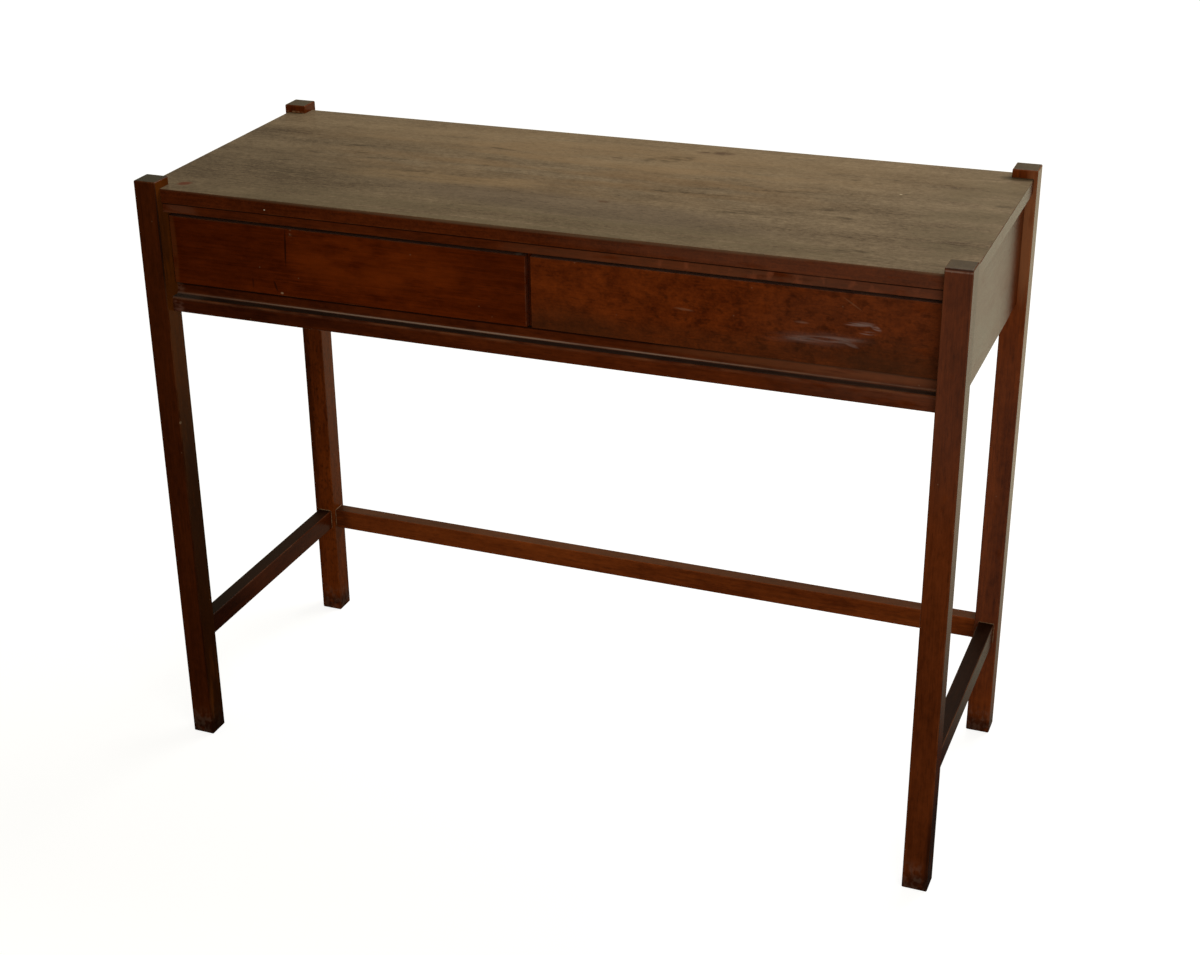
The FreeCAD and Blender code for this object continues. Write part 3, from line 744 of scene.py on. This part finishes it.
# The desk stands on a white floor in a white room, lit softly by a low lamp at its right front and a
# stronger one above its back. In reflections the floor is bright behind the desk and dim before it, so only
# faces seen at a low angle look pale. The floor glows less near the desk, so that its shadow shows.
scene = bpy.context.scene
scene.view_settings.view_transform = "Standard"
white, warm_white = linear("#FFFFFF"), linear("#FFF6D2")
ambient, reflected = 0.3, 0.6
floor_radius, floor_sides = 12, 64
floor_colour, floor_mirrored = linear("#A0A0A0"), linear("#3A3A3A")
near_glow, far_glow, near_until, far_from = 0.84, 0.95, 0.9, 4.0
mirrored_glow, dim_until, bright_from = 0.93, 0.1, 1.0

world = bpy.data.worlds.new("white_room")
scene.world = world
world.use_nodes = True
tree = world.node_tree
tree.nodes.clear()
path = add(tree, "LightPath").outputs
lit = add(tree, "MapRange", {
    "Value": path["Is Glossy Ray"], "To Min": ambient, "To Max": reflected,
}).outputs["Result"]
strength = add(tree, "Math", {0: lit, 1: path["Is Camera Ray"]}, operation="MAXIMUM").outputs[0]
mixed = {0: path["Is Camera Ray"], colour_a: warm_white, colour_b: white}
colour = add(tree, "Mix", mixed, data_type="RGBA").outputs[colour_out]
sky = add(tree, "Background", {"Color": colour, "Strength": strength})
add(tree, "OutputWorld", {"Surface": sky.outputs["Background"]})

floor_paint, tree = new_material("white_floor")
path = add(tree, "LightPath").outputs
place = add(tree, "TexCoord").outputs["Object"]
behind = add(tree, "SeparateXYZ", {0: place}).outputs["Y"]
behind = add(tree, "MapRange", {
    "Value": behind, "From Min": dim_until, "From Max": bright_from,
}).outputs["Result"]
mirrored = add(tree, "Math", {0: path["Is Glossy Ray"], 1: behind}, operation="MULTIPLY").outputs[0]
away = add(tree, "VectorMath", {0: place}, operation="LENGTH").outputs["Value"]
seen = add(tree, "MapRange", {
    "Value": away, "From Min": near_until, "From Max": far_from, "To Min": near_glow, "To Max": far_glow,
}).outputs["Result"]
seen = add(tree, "Math", {0: path["Is Camera Ray"], 1: seen}, operation="MULTIPLY").outputs[0]
strength = add(tree, "Math", {0: mirrored, 1: mirrored_glow, 2: seen}, operation="MULTIPLY_ADD").outputs[0]
mixed = {0: path["Is Camera Ray"], colour_a: warm_white, colour_b: white}
colour = add(tree, "Mix", mixed, data_type="RGBA").outputs[colour_out]
glow = add(tree, "Emission", {"Color": colour, "Strength": strength})
mixed = {0: path["Is Glossy Ray"], colour_a: floor_colour, colour_b: floor_mirrored}
colour = add(tree, "Mix", mixed, data_type="RGBA").outputs[colour_out]
matt = add(tree, "BsdfDiffuse", {"Color": colour})
both = add(tree, "AddShader", {0: matt.outputs[0], 1: glow.outputs[0]})
add(tree, "OutputMaterial", {"Surface": both.outputs[0]})

mesh = bpy.data.meshes.new("floor")
floor_angles = [2 * math.pi * index / floor_sides for index in range(floor_sides)]
rim = [(floor_radius * math.cos(angle), floor_radius * math.sin(angle), 0) for angle in floor_angles]
mesh.from_pydata(rim, [], [range(floor_sides)])
mesh.materials.append(floor_paint)
floor = bpy.data.objects.new("floor", mesh)
scene.collection.objects.link(floor)
floor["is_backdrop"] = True

desk_middle = (cad_low + cad_high) / 2
for name, place, power, size in (
    ("low_lamp", (1.0, -1.6, 1.0), 18, 1.5),
    ("high_lamp", (0.6, 1.3, 2.3), 36, 1.4),
):
    lamp = bpy.data.lights.new(name, "AREA")
    lamp.energy = power
    lamp.size = size
    lamp_object = bpy.data.objects.new(name, lamp)
    lamp_object.location = place
    lamp_object.visible_camera = False
    lamp_object.rotation_euler = (desk_middle - Vector(place)).to_track_quat("-Z", "Y").to_euler()
    scene.collection.objects.link(lamp_object)

# The camera stands where the photograph was taken from: to the right of the front and above the top.
# Its focal length and optical centre are in pixels of the photograph.
photo_width, photo_height = 1200, 955
focal_pixels = 1989
centre_x, centre_y = 525, 488
camera_place = (0.840, -2.128, 1.446)
azimuth, elevation, roll = (math.radians(angle) for angle in (23.57, 25.44, -1.53))
camera = bpy.data.cameras.new("camera")
camera.sensor_width = 36
camera.lens = camera.sensor_width * focal_pixels / photo_width
camera.shift_x = (photo_width / 2 - centre_x) / photo_width
camera.shift_y = (centre_y - photo_height / 2) / photo_width
camera_object = bpy.data.objects.new("camera", camera)
turned = Matrix.Rotation(azimuth, 4, "Z") @ Matrix.Rotation(math.pi / 2 - elevation, 4, "X")
camera_object.matrix_world = Matrix.Translation(camera_place) @ turned @ Matrix.Rotation(roll, 4, "Z")
scene.collection.objects.link(camera_object)
scene.camera = camera_object

# The desk's size as it is dressed.
low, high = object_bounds()
